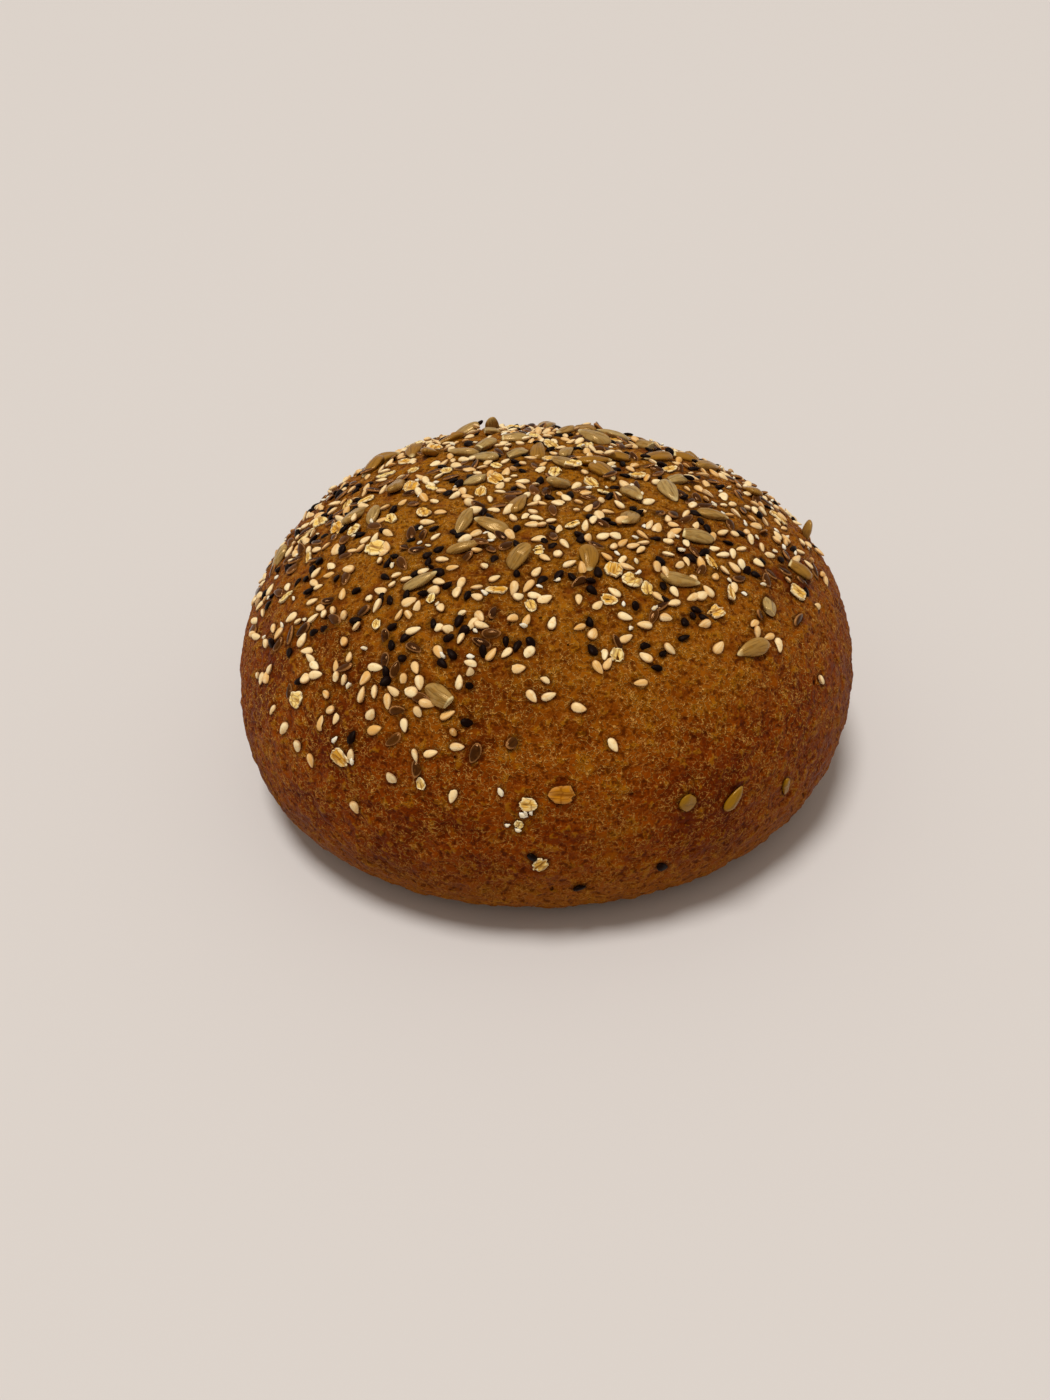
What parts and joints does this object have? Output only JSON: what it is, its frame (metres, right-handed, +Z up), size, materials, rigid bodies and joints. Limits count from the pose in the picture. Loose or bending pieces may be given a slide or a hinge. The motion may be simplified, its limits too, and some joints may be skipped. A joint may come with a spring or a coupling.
{
  "type": "round whole grain loaf",
  "caption": "Round domed loaf of whole grain bread with a brown glazed crust, its crown strewn with sunflower kernels, oat flakes, linseed and sesame. It rests on a flat foot.",
  "frame": {"origin": "middle of the flat foot that the loaf rests on", "axes": "+Z up through the crown, -Y towards the side that the picture shows at the front, X across it"},
  "size_m": [0.1727, 0.1764, 0.0824],
  "materials": {
    "crust": "satin brown baked crust, finely speckled",
    "sunflower_kernel": "satin grey-olive seed",
    "oat_flake": "matte golden flake with pale edges",
    "linseed": "glossy dark brown seed",
    "pale_sesame": "satin cream seed",
    "black_sesame": "satin black seed"
  },
  "bodies": {
    "root": {"loaf": "crust"}
  },
  "joints": []
}
